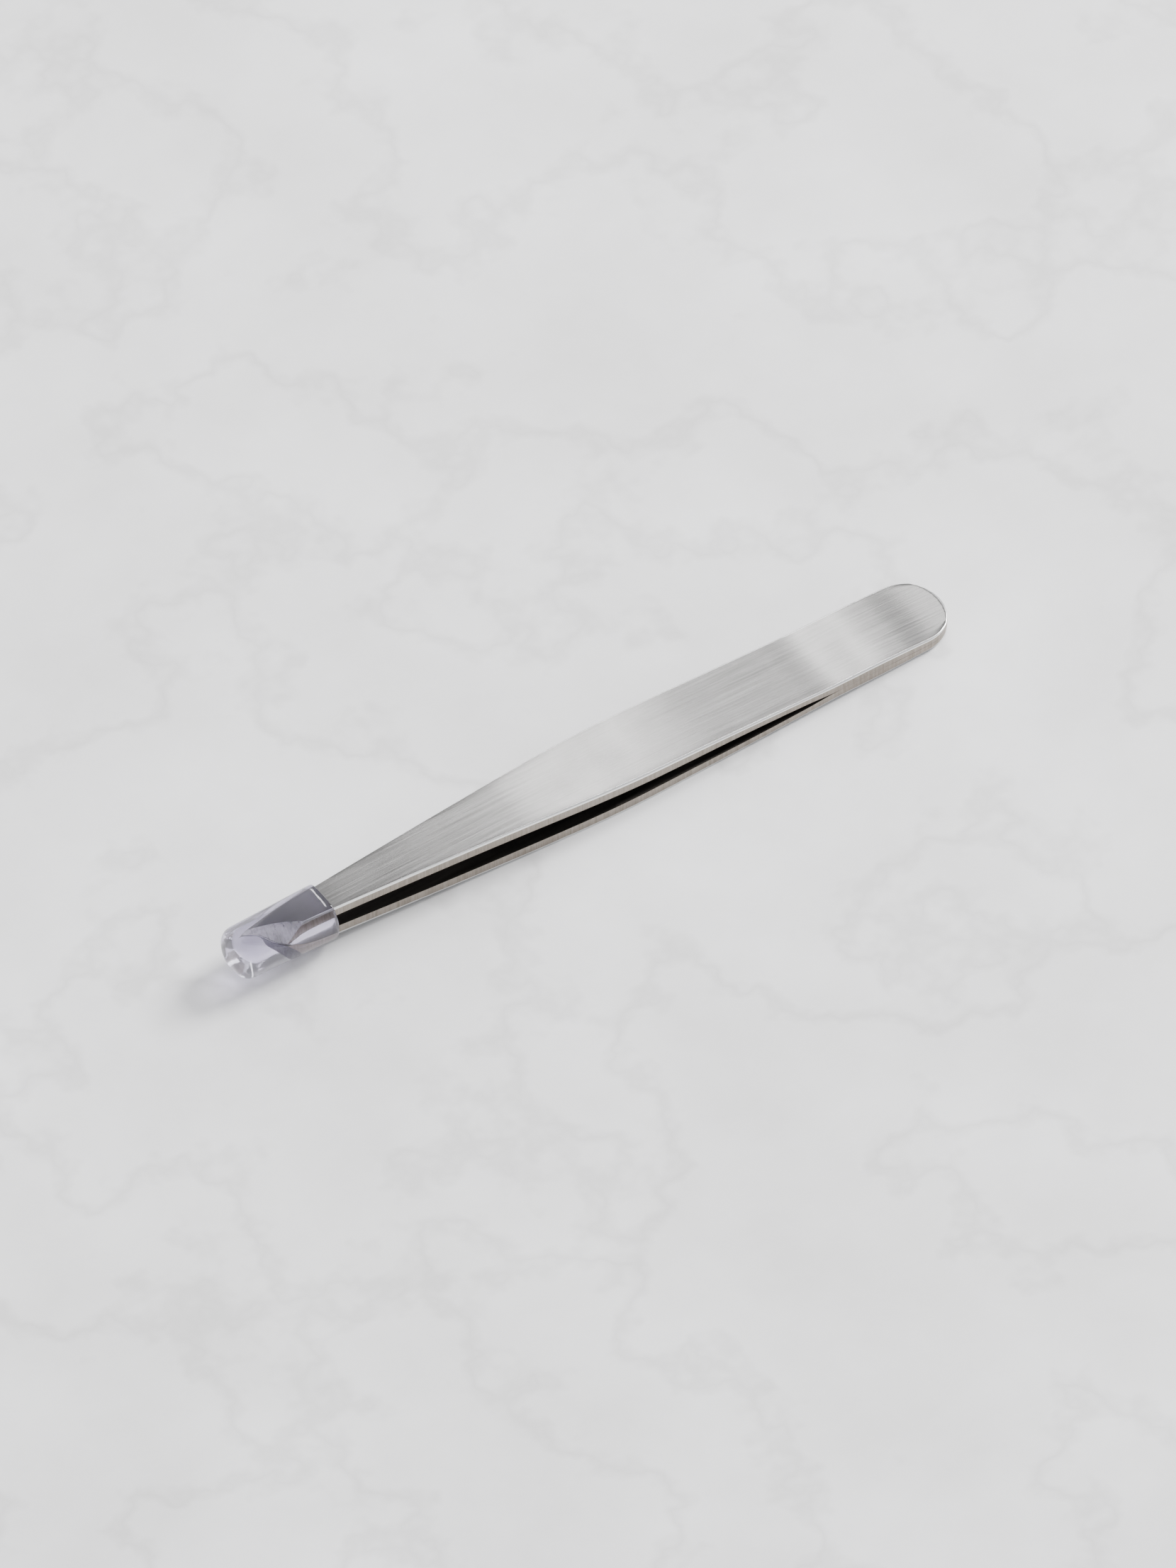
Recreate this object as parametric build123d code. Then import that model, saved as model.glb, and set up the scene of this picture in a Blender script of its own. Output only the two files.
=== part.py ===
"""Slant-tip tweezers with a soft clear tip guard.

Model frame while building: the rear end is at x = 0 and the tips point along -x, y is across the arms
and z = 0 is the plane between the two arms.  Every distance along the arms is written as s, in mm from
the rear end, so x = -s.  At the end all pieces are turned by the angle the tweezers lie at and moved so
that the origin is the bottom centre of the whole.
"""
import math
import os

from build123d import *

# driving dimensions, mm and degrees
tail_radius = 4.77         # round rear end, and half the width of the arms there
bulge_half_width = 4.85    # widest place, where the parallel part runs into the taper
bulge_s = 47.3
tip_half_width = 1.22      # half the width of the arms at the long corner
long_corner_s = 95.3       # overall length of the steel, 3.75 in
tip_gap = 0.19             # between the two tips with the guard in place
edge_radius = 0.2          # tumbled outer edges of the strips
lie_angle = 1.59           # the arms lie on the flat of the lower bulge, tips a little up

flat_start_s = 41.0        # flat of the bulge that rests on the table
flat_end_s = 50.0
flat_start_z = 2.17

flexure_s = 17.7           # where the strips part: the spring bends about this line
flexure_z = 0.575          # middle of the strip's thickness there
flexure_radius = 0.55
flexure_clearance = 0.05
flexure_step = 0.3         # the blade's hollow end starts this far in front of the line

weld_s = (6.0, 12.5)       # two resistance spot welds hold the tails together
weld_radius = 1.4
weld_half_height = 0.15
weld_clearance = 0.005     # nuggets are modelled this much smaller than their pockets

short_corner = (91.1, -1.54)     # near end of the slanted tip line: s, y
facet_top = (88.5, -1.87, 2.25)  # where the ground end facet starts on the near outer edge: s, y, z

mouth_s = 85.0             # open end of the guard
front_s = 97.8             # closed end of the guard
guard_radius = 3.45        # outside radius of the guard's round sides at the mouth
guard_front_radius = 3.1
guard_flat = 2.86          # half height over the flats above and below the arms
pocket_front_s = 97.2
pocket_half_width = 2.25
pocket_front_half_width = 1.5
pocket_half_height = 2.57

rise = math.tan(math.radians(lie_angle))
flat_end_z = flat_start_z + (flat_end_s - flat_start_s) * rise


def strip_profile():
    """Side outline of the upper strip, from the tail along the outside to the tip and back inside."""
    back = Spline(
        [(0, 0.75), (-4, 0.85), (-8, 1.02), (-12, 1.13), (-17.5, 1.15), (-22, 1.33), (-30, 1.7),
         (-36, 1.98), (-flat_start_s, flat_start_z)],
        tangents=[(-1, 0.01), (-1, rise)])
    flat = Line((-flat_start_s, flat_start_z), (-flat_end_s, flat_end_z))
    front = Spline(
        [(-flat_end_s, flat_end_z), (-60, 2.58), (-70, 2.55), (-80, 2.45), (-86, 2.35), (-89, 2.2),
         (-91.5, 1.84), (-94, 1.08), (-95.6, tip_gap / 2 + 0.32)],
        tangents=[(-1, rise), (-1, -0.7)])
    nose = Line((-95.6, tip_gap / 2 + 0.32), (-95.6, tip_gap / 2))
    pinch = Line((-95.6, tip_gap / 2), (-91.3, tip_gap / 2))
    gap = Spline(
        [(-91.3, tip_gap / 2), (-90.4, 0.27), (-89.3, 0.6), (-87, 0.86), (-80, 1.03), (-70, 1.14),
         (-60, 1.12), (-50, 0.98), (-40, 0.76), (-30, 0.63), (-22, 0.33), (-17.5, 0)],
        tangents=[(1, 0), (1, -0.085)])
    seam = Line((-17.5, 0), (0, 0))
    end = Line((0, 0), (0, 0.75))
    return make_face([back, flat, front, nose, pinch, gap, seam, end])


def plan_outline():
    """Plan outline of both strips: round tail, parallel waist, then a straight taper to the tip."""
    tip_s = 97.0
    slope = (bulge_half_width - tip_half_width) / (long_corner_s - bulge_s)
    tip = bulge_half_width - slope * (tip_s - bulge_s)
    tail = ThreePointArc((-tail_radius, tail_radius), (0, 0), (-tail_radius, -tail_radius))
    sides = Polyline(
        (-tail_radius, -tail_radius), (-bulge_s, -bulge_half_width), (-tip_s, -tip), (-tip_s, tip),
        (-bulge_s, bulge_half_width), (-tail_radius, tail_radius))
    outline = make_face([tail, sides])
    shoulders = outline.vertices().filter_by(lambda v: abs(v.X + bulge_s) < 0.1)
    return fillet(shoulders, 150)


def slant_cutter(hand):
    """Block whose rear face is the ground facet across the tip; hand = 1 has the long corner at +y."""
    short = Vector(-short_corner[0], hand * short_corner[1], tip_gap / 2)
    long = Vector(-long_corner_s, hand * tip_half_width, tip_gap / 2)
    top = Vector(-facet_top[0], hand * facet_top[1], facet_top[2])
    normal = (long - short).cross(top - short).normalized()
    if normal.X > 0:
        normal = -normal
    facet = Plane(origin=short, x_dir=(long - short), z_dir=normal)
    return facet * Pos(0, 0, 10) * Box(40, 40, 20)


def rim(strip):
    """Edges along the sides and round the tail of the strip's outside face."""
    broad = [f for f in strip.faces() if f.normal_at().Z > 0.5]
    edges = ShapeList([e for f in broad for e in f.edges()])
    return edges.filter_by(lambda e: (abs(e.center().Y) > 0.5 and e.length > 0.3) or e.center().X > -2)


def full_strip(hand):
    """Whole strip from the tail to the slanted tip, as the upper one lies."""
    side = Pos(0, 8, 0) * extrude(Plane.XZ * strip_profile(), 16)
    strip = side & extrude(plan_outline(), 6)
    strip = fillet(rim(strip), edge_radius)
    strip -= slant_cutter(hand)
    for s in weld_s:
        strip -= Pos(-s, 0, 0) * Cylinder(weld_radius, 2 * weld_half_height)
    return strip


def part_at_flexure(strip):
    """Split the strip at the flexure: a round end on the tail, and a hollow end on the blade."""
    axle = Pos(-flexure_s, 0, flexure_z) * Rot(90, 0, 0)
    ahead = Pos(-flexure_s - 50, 0, 0) * Box(100, 30, 30)
    tail = strip - ahead
    tail += strip & axle * Cylinder(flexure_radius, 30)
    behind = Pos(-flexure_s + 50 - flexure_step, 0, 0) * Box(100, 30, 30)
    blade = strip - behind
    blade -= axle * Cylinder(flexure_radius + flexure_clearance, 30)
    return tail, blade


def guard_solid():
    """Soft cap: round sides and flats above and below, closed in front, with a pocket for the arms."""
    half = make_face(Polyline(
        (-mouth_s, 0), (-mouth_s, guard_radius), (-front_s, guard_front_radius), (-front_s, 0),
        (-mouth_s, 0)))
    nose = half.vertices().filter_by(lambda v: v.X < -front_s + 0.1 and v.Y > 1)
    cap = revolve(fillet(nose, 1.8), Axis.X)
    cap &= Pos(-(mouth_s + front_s) / 2, 0, 0) * Box(40, 40, 2 * guard_flat)
    creases = cap.edges().filter_by(lambda e: abs(abs(e.center().Z) - guard_flat) < 0.01)
    creases = creases.filter_by(lambda e: e.length > 3 and abs(e.center().Y) > 0.5)
    cap = fillet(creases, 1.0)
    back = mouth_s - 0.5
    widen = 0.5 * (pocket_half_width - pocket_front_half_width) / (pocket_front_s - mouth_s)
    plan = make_face(Polyline(
        (-back, -pocket_half_width - widen), (-pocket_front_s, -pocket_front_half_width),
        (-pocket_front_s, pocket_front_half_width), (-back, pocket_half_width + widen),
        (-back, -pocket_half_width - widen)))
    side = make_face(Polyline(
        (-back, -pocket_half_height), (-93, -pocket_half_height), (-pocket_front_s, -1.7),
        (-pocket_front_s, 1.7), (-93, pocket_half_height), (-back, pocket_half_height),
        (-back, -pocket_half_height)))
    pocket = Pos(0, 0, -5) * extrude(plan, 10)
    pocket &= Pos(0, 8, 0) * extrude(Plane.XZ * side, 16)
    corners = pocket.edges().filter_by(lambda e: e.length > 3 and abs(e.center().Y) > 1)
    pocket = fillet(corners.filter_by(lambda e: abs(e.center().Z) > 1.5), 0.4)
    return cap - pocket


upper_tail, upper_blade = part_at_flexure(full_strip(1))
nugget = Cylinder(weld_radius - weld_clearance, 2 * (weld_half_height - weld_clearance))
pieces = {
    "lower_arm": Rot(180, 0, 0) * full_strip(-1),
    "upper_arm_tail": upper_tail,
    "upper_arm": upper_blade,
    "spot_welds": Compound(children=[Pos(-s, 0, 0) * nugget for s in weld_s]),
    "tip_guard": guard_solid(),
}

# lay the tweezers down and put the origin at the bottom centre of the whole
laid = {name: Rot(0, lie_angle, 0) * piece for name, piece in pieces.items()}
box = Compound(children=[piece.moved(Location()) for piece in laid.values()]).bounding_box()
home = Pos(-(box.min.X + box.max.X) / 2, -(box.min.Y + box.max.Y) / 2, -box.min.Z)
os.makedirs("parts", exist_ok=True)
for name, piece in laid.items():
    placed = home * piece
    placed.label = name
    export_step(placed, "parts/" + name + ".step")
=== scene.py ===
import math
from bisect import bisect_right

import bmesh
import bpy
from mathutils import Matrix, Vector


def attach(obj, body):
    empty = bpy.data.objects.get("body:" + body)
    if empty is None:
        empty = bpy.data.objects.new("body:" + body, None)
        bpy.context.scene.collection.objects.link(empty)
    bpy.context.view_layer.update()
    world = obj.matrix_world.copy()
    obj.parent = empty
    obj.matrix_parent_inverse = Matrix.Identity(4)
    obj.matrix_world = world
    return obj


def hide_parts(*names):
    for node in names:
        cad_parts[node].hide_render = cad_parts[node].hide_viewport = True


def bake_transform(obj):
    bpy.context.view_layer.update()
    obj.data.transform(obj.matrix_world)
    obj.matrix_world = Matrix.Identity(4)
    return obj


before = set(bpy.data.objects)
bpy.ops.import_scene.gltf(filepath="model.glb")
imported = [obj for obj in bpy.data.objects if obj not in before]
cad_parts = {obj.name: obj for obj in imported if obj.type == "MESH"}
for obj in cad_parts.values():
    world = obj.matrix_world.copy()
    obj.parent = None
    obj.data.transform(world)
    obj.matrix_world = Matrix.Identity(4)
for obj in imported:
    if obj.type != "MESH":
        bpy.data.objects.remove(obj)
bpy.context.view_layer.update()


# ---- floor ----
# A pale stone slab, honed smooth.  Its clouds are barely lighter and darker than the stone, and a few
# hair-thin veins run through it.
def linear(code):
    """Linear colour of a hex sRGB code such as "d8d6d2"."""
    parts = [int(code[i:i + 2], 16) / 255 for i in (0, 2, 4)]
    return [c / 12.92 if c <= 0.04045 else ((c + 0.055) / 1.055) ** 2.4 for c in parts] + [1.0]


def material(name):
    """A new material with its node tree and the Principled shader in it."""
    made = bpy.data.materials.new(name)
    made.use_nodes = True
    return made, made.node_tree, made.node_tree.nodes["Principled BSDF"]


def add(tree, kind, settings=None, inputs=None, links=None):
    """A node of that kind, with settings, input values, and links from other nodes' outputs."""
    node = tree.nodes.new(kind)
    for key, value in (settings or {}).items():
        setattr(node, key, value)
    for key, value in (inputs or {}).items():
        node.inputs[key].default_value = value
    for key, (source, output) in (links or {}).items():
        tree.links.new(source.outputs[output], node.inputs[key])
    return node


def object_noise(tree, scale, detail=3.0, rough=0.6):
    """Noise over Object coordinates stretched by scale = (x, y, z), in cycles per metre."""
    place = add(tree, "ShaderNodeTexCoord")
    stretch = add(tree, "ShaderNodeMapping", inputs={"Scale": scale}, links={"Vector": (place, "Object")})
    return add(tree, "ShaderNodeTexNoise", inputs={"Scale": 1.0, "Detail": detail, "Roughness": rough},
               links={"Vector": (stretch, "Vector")})


def ramp(tree, source, output, low, high, a, b):
    """Colour ramp from colour a at low to colour b at high."""
    node = add(tree, "ShaderNodeValToRGB", links={"Fac": (source, output)})
    node.color_ramp.elements[0].position = low
    node.color_ramp.elements[0].color = a
    node.color_ramp.elements[1].position = high
    node.color_ramp.elements[1].color = b
    return node


def span(tree, source, output, low, high):
    """The noise value turned into a number from low to high."""
    limits = {"From Min": 0.3, "From Max": 0.7, "To Min": low, "To Max": high}
    return add(tree, "ShaderNodeMapRange", inputs=limits, links={"Value": (source, output)})


bm = bmesh.new()
bmesh.ops.create_grid(bm, x_segments=4, y_segments=4, size=1.5)
floor_mesh = bpy.data.meshes.new("floor")
bm.to_mesh(floor_mesh)
bm.free()
floor = bpy.data.objects.new("floor", floor_mesh)
bpy.context.collection.objects.link(floor)
stone, tree, shader = material("honed pale stone")
clouds = object_noise(tree, (30, 30, 30), detail=7.0)
tint = ramp(tree, clouds, "Fac", 0.32, 0.72, linear("e0dfdf"), linear("f8f8f9"))
veins = object_noise(tree, (26, 26, 26), detail=5.0, rough=0.55)
middle = add(tree, "ShaderNodeMath", {"operation": "SUBTRACT"}, inputs={1: 0.5}, links={0: (veins, "Fac")})
spread = add(tree, "ShaderNodeMath", {"operation": "ABSOLUTE"}, links={0: (middle, "Value")})
streak = ramp(tree, spread, "Value", 0.0, 0.03, linear("d9d8d7"), linear("ffffff"))
slab = add(tree, "ShaderNodeMixRGB", {"blend_type": "MULTIPLY"}, inputs={"Fac": 0.45},
           links={"Color1": (tint, "Color"), "Color2": (streak, "Color")})
tree.links.new(slab.outputs["Color"], shader.inputs["Base Color"])
shader.inputs["Roughness"].default_value = 0.55
floor_mesh.materials.append(stone)


# ---- camera and light ----
# The camera looks down past the tips from the near side.  A large soft box stands at the tail's side, a
# narrow one throws a bright band across the brushed bulge, and the sky is bright and even.
lie = math.radians(1.59)
rear_x, rear_z = 48.8925, 1.0315


def lay(s, y, z):
    """Place in the row frame, in metres, of a point s mm from the rear end and z mm above the mid-plane."""
    along = rear_x - s * math.cos(lie) + z * math.sin(lie)
    return Vector((along, y, rear_z + s * math.sin(lie) + z * math.cos(lie))) / 1000


azimuth, elevation, roll = math.radians(-34.38), math.radians(49.17), math.radians(0.29)
forward = Vector((-math.sin(azimuth) * math.cos(elevation), math.cos(azimuth) * math.cos(elevation),
                  -math.sin(elevation)))
level = Vector((math.cos(azimuth), math.sin(azimuth), 0))
above = level.cross(forward)
right = level * math.cos(roll) - above * math.sin(roll)
up = above * math.cos(roll) + level * math.sin(roll)
middle_s = 47.5
aim = lay(middle_s, 0, 0) - level * 0.00094 - above * 0.00109
lens = bpy.data.cameras.new("camera")
lens.sensor_fit = "VERTICAL"
lens.sensor_height = 36
distance, framed_height = 5, 0.1777
lens.lens = lens.sensor_height * distance / framed_height
lens.clip_start = 1
lens.clip_end = 40
camera = bpy.data.objects.new("camera", lens)
bpy.context.collection.objects.link(camera)
spot = aim - forward * distance
camera.matrix_world = Matrix(((right.x, up.x, -forward.x, spot.x), (right.y, up.y, -forward.y, spot.y),
                              (right.z, up.z, -forward.z, spot.z), (0, 0, 0, 1)))
bpy.context.scene.camera = camera

world = bpy.data.worlds.new("studio")
world.use_nodes = True
world.node_tree.nodes["Background"].inputs["Color"].default_value = linear("f4f5f7")
world.node_tree.nodes["Background"].inputs["Strength"].default_value = 1.1
bpy.context.scene.world = world


def softbox(name, place, size, power, tone):
    """A flat area light that faces the tweezers."""
    data = bpy.data.lights.new(name, "AREA")
    data.shape = "RECTANGLE"
    data.size, data.size_y = size
    data.energy = power
    data.color = linear(tone)[:3]
    lamp = bpy.data.objects.new(name, data)
    bpy.context.collection.objects.link(lamp)
    lamp.location = place
    lamp.rotation_euler = (-Vector(place)).to_track_quat("-Z", "Y").to_euler()
    return lamp


softbox("key", (1.6, 0.1, 1.1), (0.7, 0.7), 85, "ffffff")
strip_place = (0.716, 0.864, 1.142)
strip = softbox("strip", strip_place, (0.08, 1.2), 6.2, "ffffff")
aimed = Vector(strip_place).normalized()
across = (Vector((1, 0, 0)) - aimed * aimed.x).normalized()
strip.rotation_euler = Matrix((across, aimed.cross(across), aimed)).transposed().to_euler()


# ---- steel arms ----
# Each arm is one strip of stainless steel, punched out, bent and brushed lengthwise.  Its side walls are
# ground across and painted a warm tan as the shaded floor they reflect, its edges are tumbled round and
# painted near white as a highlight, its inside face is painted near black as the shade between the
# arms, and its end is ground on a slant to the tip.
tail_radius = 4.77


def curve(points):
    """Smooth function through the points."""
    xs = [p[0] for p in points]
    ys = [p[1] for p in points]
    last = len(xs) - 1
    slopes = []
    for i in range(len(xs)):
        a, b = max(i - 1, 0), min(i + 1, last)
        slopes.append((ys[b] - ys[a]) / (xs[b] - xs[a]))

    def at(x):
        i = min(max(bisect_right(xs, x) - 1, 0), last - 1)
        h = xs[i + 1] - xs[i]
        t = min(max((x - xs[i]) / h, 0), 1)
        return ((1 + 2 * t) * (1 - t) ** 2 * ys[i] + t * (1 - t) ** 2 * h * slopes[i]
                + t * t * (3 - 2 * t) * ys[i + 1] + t * t * (t - 1) * h * slopes[i + 1])

    return at


outside = curve([(0, 0.75), (4, 0.85), (8, 1.02), (12, 1.13), (17.5, 1.15), (22, 1.33), (30, 1.7),
                 (36, 1.98), (41, 2.17), (45, 2.28), (49, 2.39), (54.5, 2.51), (60, 2.58), (70, 2.55),
                 (80, 2.45), (86, 2.35), (89, 2.2), (91.5, 1.84), (94, 1.03), (95.6, 0.4)])
inside = curve([(0, 0), (8, 0), (17.5, 0), (22, 0.33), (30, 0.63), (40, 0.76), (50, 0.98), (60, 1.12),
                (70, 1.14), (80, 1.03), (87, 0.86), (89.3, 0.6), (90.4, 0.27), (91.3, 0.095), (94, 0.095),
                (95.6, 0.095)])
half_width = curve([(0, 4.77), (8, 4.78), (30, 4.82), (42, 4.84), (45, 4.81), (49, 4.66), (53, 4.42),
                    (62, 3.74), (75, 2.76), (85, 2.0), (97, 1.09)])
tip_start = 84.0
short = Vector((91.1, -1.54, 0.095))
long = Vector((95.3, 1.22, 0.095))
facet_normal = (long - short).cross(Vector((88.5, -1.87, 2.25)) - short)


def facet_top(v):
    """Where the ground facet meets the outside face, at the share v of the half width."""
    low, high = 86.0, 95.6
    for _ in range(30):
        s = (low + high) / 2
        point = Vector((s, v * half_width(s), outside(s)))
        ahead = (point - short).dot(facet_normal) * (-1 if facet_normal.x < 0 else 1) > 0
        low, high = (low, s) if ahead else (s, high)
    return low


def facet_foot(v):
    """Where the tip line runs, at the share v of the half width."""
    s = short.x + (long.x - short.x) * (v * 1.35 - short.y) / (long.y - short.y)
    return min(s, 95.45)


def tail_place(along, v):
    """Plan position in the round tail: the rows there bend from the round end into straight rows."""
    turn = math.radians(50)
    if along < 0.8 * tail_radius:
        angle = turn + (math.pi / 2 - turn) * along / (0.8 * tail_radius)
        side_s, side_y = tail_radius * (1 - math.cos(angle)), tail_radius * math.sin(angle)
    else:
        share = (along - 0.8 * tail_radius) / (12 - 0.8 * tail_radius)
        side_s = tail_radius + (12 - tail_radius) * share
        side_y = half_width(side_s)
    s = along + (side_s - along) * (1 - math.cos(turn * v)) / (1 - math.cos(turn))
    return s, side_y * math.sin(turn * v) / math.sin(turn)


OUTSIDE_FACE, SIDE_WALL, TIP_FACET, ROUND_EDGE, INSIDE_FACE = range(5)


def steel_strip(name, side):
    """One arm: a straight slab with rounded edges, laid on its curves.  side is 1 above and -1 below."""
    length, width, height = 95.0, 9.6, 1.3
    bm = bmesh.new()
    bmesh.ops.create_grid(bm, x_segments=190, y_segments=8, size=1)
    grown = bmesh.ops.extrude_face_region(bm, geom=bm.faces[:], use_keep_orig=True)
    for v in [g for g in grown["geom"] if isinstance(g, bmesh.types.BMVert)]:
        v.co.z = 1
    for v in bm.verts:
        v.co = Vector(((v.co.x + 1) / 2 * length, v.co.y * width / 2, v.co.z * height))
    bmesh.ops.recalc_face_normals(bm, faces=bm.faces[:])
    for f in bm.faces:
        if f.normal.x > 0.9:
            f.material_index = TIP_FACET
        elif f.normal.z > 0.9:
            f.material_index = OUTSIDE_FACE
        elif f.normal.z < -0.9:
            f.material_index = INSIDE_FACE
        else:
            f.material_index = SIDE_WALL
    outer = [e for e in bm.edges if e.calc_face_angle() > 1 and min(v.co.z for v in e.verts) > height - 0.01
             and min(v.co.x for v in e.verts) < length - 0.01]
    rounded = bmesh.ops.bevel(bm, geom=outer, offset=0.3, offset_type="OFFSET", affect="EDGES", segments=4,
                              profile=0.5, material=-1)
    for f in rounded["faces"]:
        f.material_index = ROUND_EDGE
    inner = [e for e in bm.edges if e.calc_face_angle() > 1 and max(v.co.z for v in e.verts) < 0.01]
    bmesh.ops.bevel(bm, geom=inner, offset=0.06, offset_type="OFFSET", affect="EDGES", segments=2,
                    profile=0.5, material=-1)
    for v in bm.verts:
        share = v.co.y / (width / 2)
        height_share = v.co.z / height
        if v.co.x < 12:
            s, y = tail_place(v.co.x, share)
            low_s = high_s = s
        elif v.co.x < tip_start:
            low_s = high_s = s = v.co.x
            y = half_width(s) * math.sin(math.radians(50) * share) / math.sin(math.radians(50))
        else:
            t = (v.co.x - tip_start) / (length - tip_start)
            across = math.sin(math.radians(50) * share) / math.sin(math.radians(50))
            low_s = tip_start + (facet_foot(across) - tip_start) * t
            high_s = tip_start + (facet_top(across) - tip_start) * t
            s = low_s + (high_s - low_s) * height_share
            y = half_width(s) * across
        z = inside(low_s) + (outside(high_s) - inside(low_s)) * height_share
        v.co = lay(s, y, side * z)
    bmesh.ops.recalc_face_normals(bm, faces=bm.faces[:])
    for f in bm.faces:
        f.smooth = True
    for e in bm.edges:
        e.smooth = len(e.link_faces) == 2 and e.calc_face_angle() < math.radians(32)
    mesh = bpy.data.meshes.new(name)
    bm.to_mesh(mesh)
    bm.free()
    arm = bpy.data.objects.new(name, mesh)
    bpy.context.collection.objects.link(arm)
    return arm


def scratched_steel(name, dark, light, rough, lines, depth, satin=0.0):
    """Stainless steel with fine lines.  lines = cycles per metre along x, y and z."""
    made, tree, shader = material(name)
    scratches = object_noise(tree, lines, detail=4.0, rough=0.7)
    patches = object_noise(tree, (120, 120, 120), detail=2.0)
    tone = ramp(tree, scratches, "Fac", 0.3, 0.7, linear(dark), linear(light))
    tree.links.new(tone.outputs["Color"], shader.inputs["Base Color"])
    gloss = add(tree, "ShaderNodeMath", {"operation": "MULTIPLY"}, links={
        0: (span(tree, scratches, "Fac", rough * 0.85, rough * 1.2), "Result"),
        1: (span(tree, patches, "Fac", 0.92, 1.1), "Result")})
    tree.links.new(gloss.outputs["Value"], shader.inputs["Roughness"])
    relief = add(tree, "ShaderNodeBump", inputs={"Strength": 0.6, "Distance": depth},
                 links={"Height": (scratches, "Fac")})
    tree.links.new(relief.outputs["Normal"], shader.inputs["Normal"])
    shader.inputs["Metallic"].default_value = 1.0
    if satin:
        side = add(tree, "ShaderNodeCombineXYZ", inputs={"Y": 1.0})
        tree.links.new(side.outputs["Vector"], shader.inputs["Tangent"])
        shader.inputs["Anisotropic"].default_value = satin
    return made


brushed = scratched_steel("brushed stainless steel", "605f5e", "7f7e7d", 0.24, (70, 4800, 70), 0.000003, 0.75)
# Side walls: ground across; their warm tan colour is painted shade, standing in for the shaded floor they
# reflect.
ground = scratched_steel("ground side wall with painted shade", "7b736a", "a39b92", 0.42, (4200, 260, 260), 0.000004)
tip_ground = scratched_steel("ground tip facet", "8c8b8b", "c4c3c3", 0.3, (3800, 3000, 300), 0.000003)
# Rounded edges: tumbled round; their near-white colour is a painted highlight along the edges.
tumbled_highlight_edge = scratched_steel("tumbled steel edge with painted highlight", "dcdcdb", "e6e6e5", 0.2, (60, 900, 900), 0.000001)
# Inside faces: rolled finish in their roughness and lines; their near-black colour is painted shade between
# the arms.
rolled = scratched_steel("rolled inside face with painted shade", "3a3734", "4d4946", 0.45, (60, 1500, 60), 0.000004)

finishes = (brushed, ground, tip_ground, tumbled_highlight_edge, rolled)
upper_arm = steel_strip("upper_arm_strip", 1)
for finish in finishes:
    upper_arm.data.materials.append(finish)
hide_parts("upper_arm", "upper_arm_tail")
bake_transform(upper_arm)

lower_arm = steel_strip("lower_arm_strip", -1)
for finish in finishes:
    lower_arm.data.materials.append(finish)
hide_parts("lower_arm")
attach(lower_arm, "lower_half")

# ---- spot welds ----
# Two resistance weld nuggets fuse the tails together.  They sit inside the metal, dull from the heat.
heat = scratched_steel("weld nugget steel", "77736e", "8d8984", 0.55, (900, 900, 900), 0.000008)
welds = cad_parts["spot_welds"]
welds.data.materials.clear()
welds.data.materials.append(heat)

# ---- tip guard ----
# A dip-moulded cap of soft clear vinyl with a faint violet tint, thin over the broad faces of the arms
# and thick at both sides.  Its front end is closed and round, its mouth is cut square.
mouth, front = 85.0, 97.8


def soft_min(a, b, power):
    return (a ** -power + b ** -power) ** (-1 / power)


def guard_outside(s, angle):
    """Outer radius: a round tube pressed flat above and below."""
    tube = 3.42 - 0.28 * (s - mouth) / (front - mouth)
    return soft_min(tube, 2.86 / max(abs(math.sin(angle)), 1e-3), 14)


cling = 0.03          # the vinyl grips the steel this much
dome, lip, pocket_end = 1.9, 0.15, 95.27
away = facet_normal.normalized() * (-1 if facet_normal.x < 0 else 1)


def pocket_middle(s):
    """How far the middle of the pocket lies to the long corner's side: it follows the slant of the tips."""
    near = short.y - away.x * (s - short.x) / away.y
    return (max(-half_width(s), near) + half_width(s)) / 2


def guard_inside(s, angle):
    """Inner radius: the soft vinyl clings to the steel, so the pocket has the shape of the closed tips."""
    across, rise = math.cos(angle), abs(math.sin(angle))
    wide = half_width(s) - cling - math.copysign(pocket_middle(s), across)
    radius = soft_min(wide / max(abs(across), 1e-3), (outside(s) - cling) / max(rise, 1e-3), 30)
    growth = away.y * across + away.z * rise
    room = -cling - away.dot(Vector((s, pocket_middle(s), 0)) - short)
    if growth > 1e-3:
        radius = min(radius, max(room, 0.01) / growth)
    return radius


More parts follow.
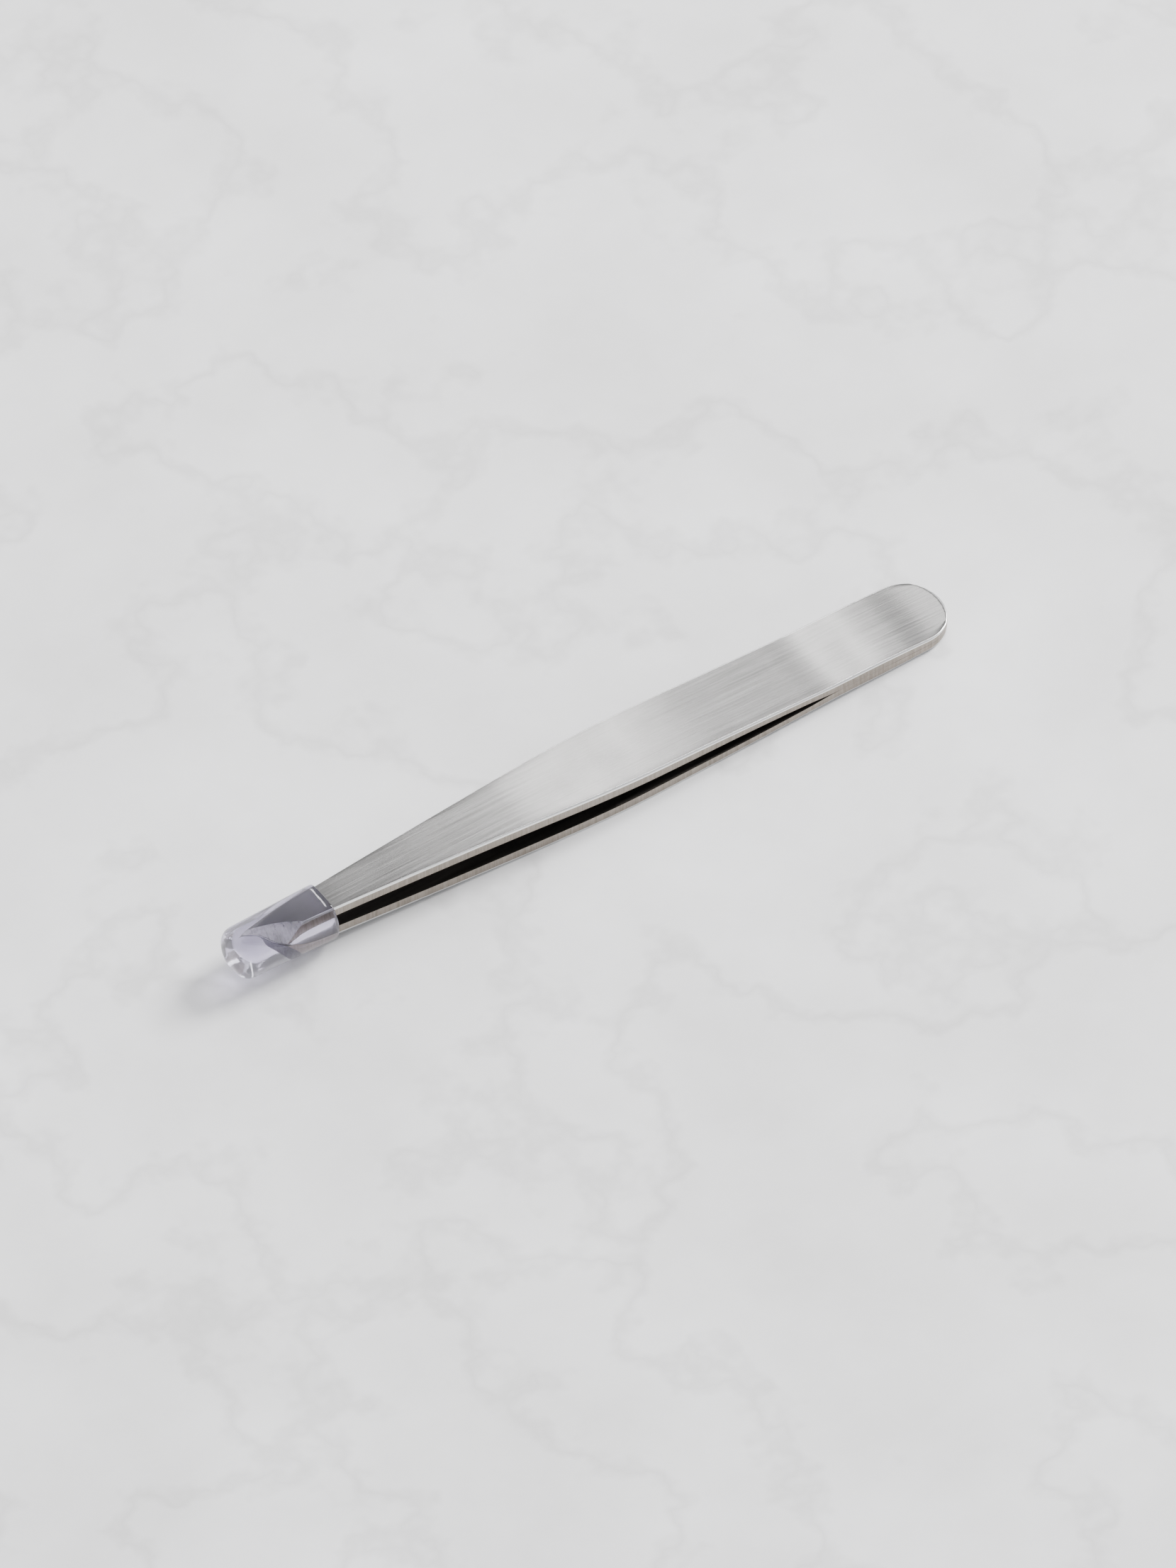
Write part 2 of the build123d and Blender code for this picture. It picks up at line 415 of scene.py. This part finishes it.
# Each step of the profile is s, the place in the wall (1 outside, 0 in the pocket) and a share of the
# radius there.
profile = []
for i in range(13):
    a = math.radians(7.5 * i)
    profile.append((front - dome + dome * math.cos(a) ** 0.8, 1.0, math.sin(a) ** 0.7))
profile += [(front - dome - 10.7 * i / 14, 1.0, 1.0) for i in range(1, 15)]
for i in range(1, 6):
    a = math.radians(30 * i)
    profile.append((mouth + lip - lip * math.sin(a), 0.5 + 0.5 * math.cos(a), 1.0))
profile += [(mouth + 0.2 + 10 * i / 40, 0.0, 1.0) for i in range(41)]
profile += [(pocket_end - 0.02, 0.0, 0.6), (pocket_end, 0.0, 0.0)]
around = 112
bm = bmesh.new()
bmesh.ops.create_grid(bm, x_segments=around, y_segments=len(profile) - 1, size=1)
for v in bm.verts:
    s, wall, share = profile[round((v.co.y + 1) / 2 * (len(profile) - 1))]
    angle = math.pi * (v.co.x + 1)
    radius = share * (guard_inside(s, angle) * (1 - wall) + guard_outside(s, angle) * wall)
    v.co = lay(s, pocket_middle(s) * (1 - wall) + radius * math.cos(angle), radius * math.sin(angle))
bmesh.ops.remove_doubles(bm, verts=bm.verts[:], dist=1e-7)
bmesh.ops.recalc_face_normals(bm, faces=bm.faces[:])
for f in bm.faces:
    f.smooth = True
guard_mesh = bpy.data.meshes.new("tip_guard_cap")
bm.to_mesh(guard_mesh)
bm.free()
guard = bpy.data.objects.new("tip_guard_cap", guard_mesh)
bpy.context.collection.objects.link(guard)
vinyl, tree, shader = material("clear violet vinyl")
waves = object_noise(tree, (260, 260, 260), detail=2.0)
tint = ramp(tree, waves, "Fac", 0.3, 0.7, linear("d3ccea"), linear("e3def4"))
tree.links.new(tint.outputs["Color"], shader.inputs["Base Color"])
relief = add(tree, "ShaderNodeBump", inputs={"Strength": 0.5, "Distance": 0.00003},
             links={"Height": (waves, "Fac")})
tree.links.new(relief.outputs["Normal"], shader.inputs["Normal"])
shader.inputs["Roughness"].default_value = 0.04
shader.inputs["IOR"].default_value = 1.5
shader.inputs["Transmission Weight"].default_value = 1.0
shader.inputs["Alpha"].default_value = 0.9
guard_mesh.materials.append(vinyl)
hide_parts("tip_guard")
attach(guard, "guard")
